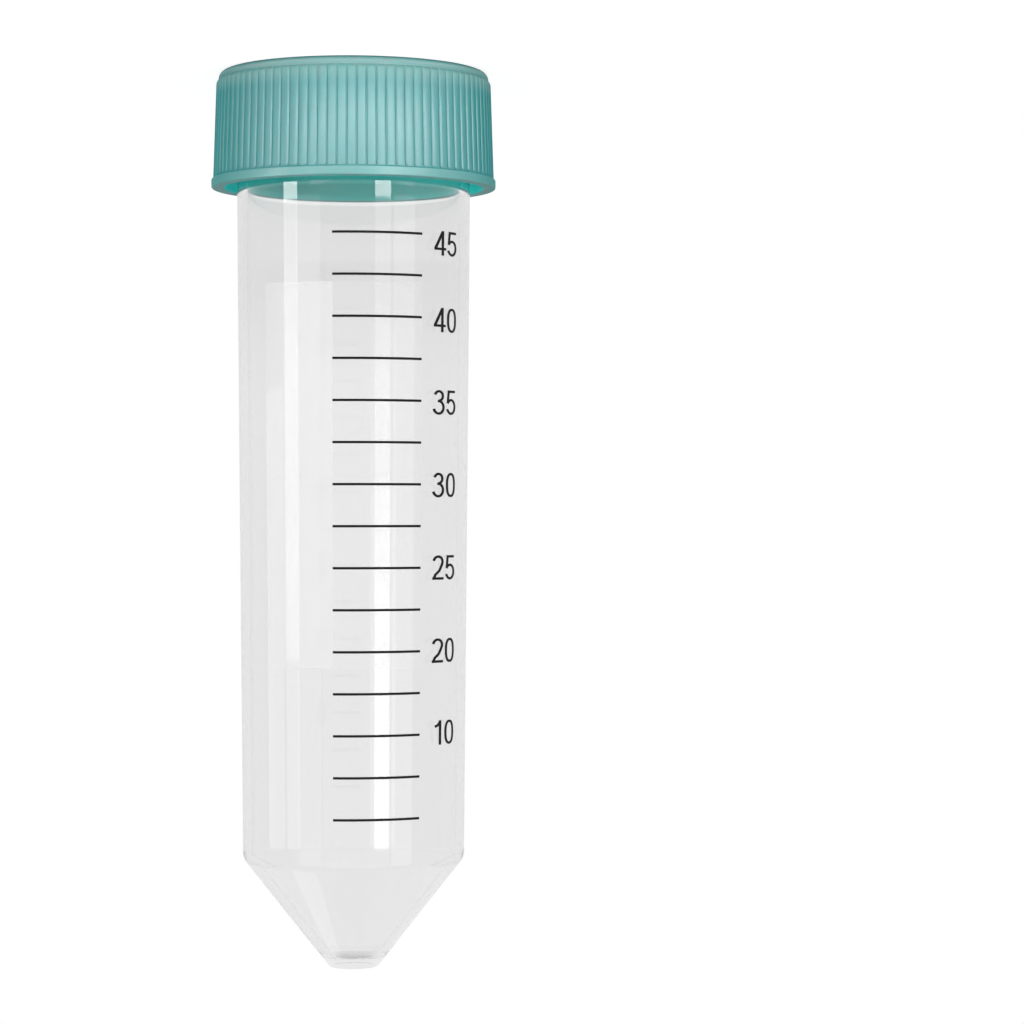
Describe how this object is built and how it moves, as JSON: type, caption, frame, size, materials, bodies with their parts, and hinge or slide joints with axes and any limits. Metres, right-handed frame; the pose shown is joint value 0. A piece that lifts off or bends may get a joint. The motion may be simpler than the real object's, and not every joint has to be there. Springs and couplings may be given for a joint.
{
  "type": "50 ml conical centrifuge tube",
  "caption": "Clear graduated conical-bottom laboratory tube with a finely ribbed teal screw cap, standing on its cap; the thread turns and lifts the tube off the cap.",
  "frame": {"origin": "centre of the cap's flat top, which is the face the part stands on", "axes": "+Z along the tube's axis from the cap to the tip; -Y faces the printed graduations"},
  "size_m": [0.0366, 0.0366, 0.115],
  "materials": {
    "clear_tube": "gloss",
    "teal_cap": "satin",
    "seal": "matte"
  },
  "bodies": {
    "cap": {"screw_cap": "teal_cap"},
    "seal": {"seal_disc": "seal"},
    "tube": {"tube": "clear_tube"}
  },
  "joints": [
    {"name": "unscrew_turn", "type": "hinge", "parent": "cap", "child": "seal", "pos_m": [0, 0, 0], "axis": [0, 0, 1], "range_deg": [0, 1800]},
    {"name": "unscrew_lift", "type": "slide", "parent": "seal", "child": "tube", "axis": [0, 0, 1], "range_m": [0, 0.015]}
  ],
  "couplings": [
    {"joint": "unscrew_lift", "follows": "unscrew_turn", "m_per_rad": 0.00047746}
  ]
}
